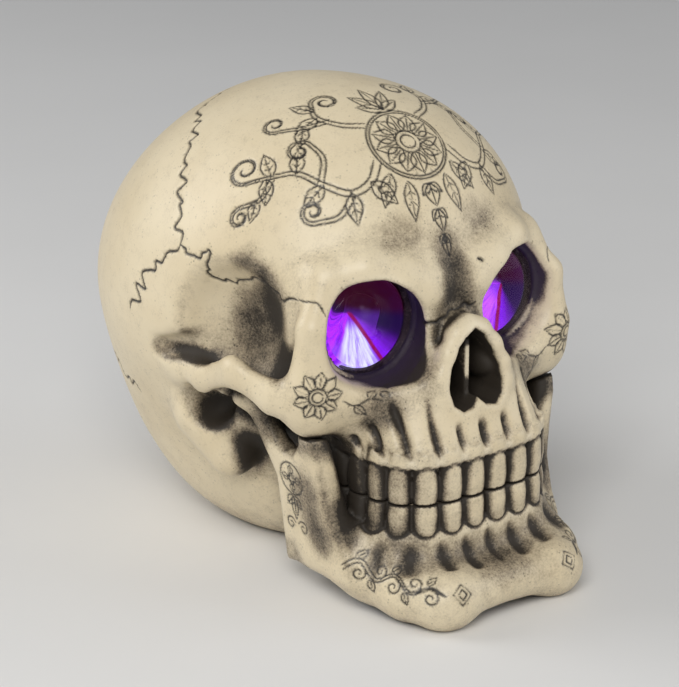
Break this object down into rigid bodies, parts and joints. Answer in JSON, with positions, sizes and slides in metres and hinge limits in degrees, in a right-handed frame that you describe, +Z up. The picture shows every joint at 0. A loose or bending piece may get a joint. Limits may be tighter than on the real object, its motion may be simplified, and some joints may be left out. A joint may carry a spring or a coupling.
{
  "type": "halloween skull decoration",
  "caption": "Life-like cast skull for a table, with an aged bone finish, engraved line ornament and clear purple eyes lit from behind, with a battery box and a switch in its base.",
  "frame": {"origin": "on the table, below the middle of the skull's bounding box", "axes": "+Z up, the face looks along -Y, the skull's own right side is at -X, and the table is at z = 0"},
  "size_m": [0.1248, 0.1792, 0.1451],
  "materials": {
    "bone_resin": "ivory cast resin with a dark brown wash in its recesses, satin on the vault",
    "purple_gem": "clear purple acrylic, polished",
    "led_clear": "clear epoxy lamp, lit violet",
    "black_plastic": "fine-grained black moulding",
    "white_plastic": "plain white moulding",
    "red_wire": "soft insulation",
    "black_wire": "soft insulation",
    "zinc_steel": "zinc plated",
    "cell_can": "bright nickel plate",
    "nickel_contact": "nickel-plated spring wire",
    "brass_contact": "plain brass strip"
  },
  "bodies": {
    "skull": {"cranium_casting": "bone_resin", "jaw_casting": "bone_resin", "right_eye_lens": "purple_gem", "left_eye_lens": "purple_gem", "right_led": "led_clear", "left_led": "led_clear", "right_led_holder": "black_plastic", "left_led_holder": "black_plastic", "right_wire_red": "red_wire", "left_wire_red": "red_wire", "right_wire_black": "black_wire", "left_wire_black": "black_wire", "battery_box": "black_plastic", "battery_1": "cell_can", "battery_2": "cell_can", "battery_3": "cell_can", "contact_spring": "nickel_contact", "negative_contact": "brass_contact", "positive_contact": "brass_contact", "switch_body": "black_plastic"},
    "door": {"battery_door": "black_plastic", "door_screw": "zinc_steel"},
    "slider": {"switch_slider": "white_plastic"}
  },
  "joints": [
    {"name": "battery_door_hinge", "type": "hinge", "parent": "skull", "child": "door", "pos_m": [-0.00485, 0.0007, 0.0018], "axis": [-1, 0, 0], "range_deg": [0, 95]},
    {"name": "switch_slide", "type": "slide", "parent": "skull", "child": "slider", "axis": [0, -1, 0], "range_m": [0, 0.0036]}
  ]
}
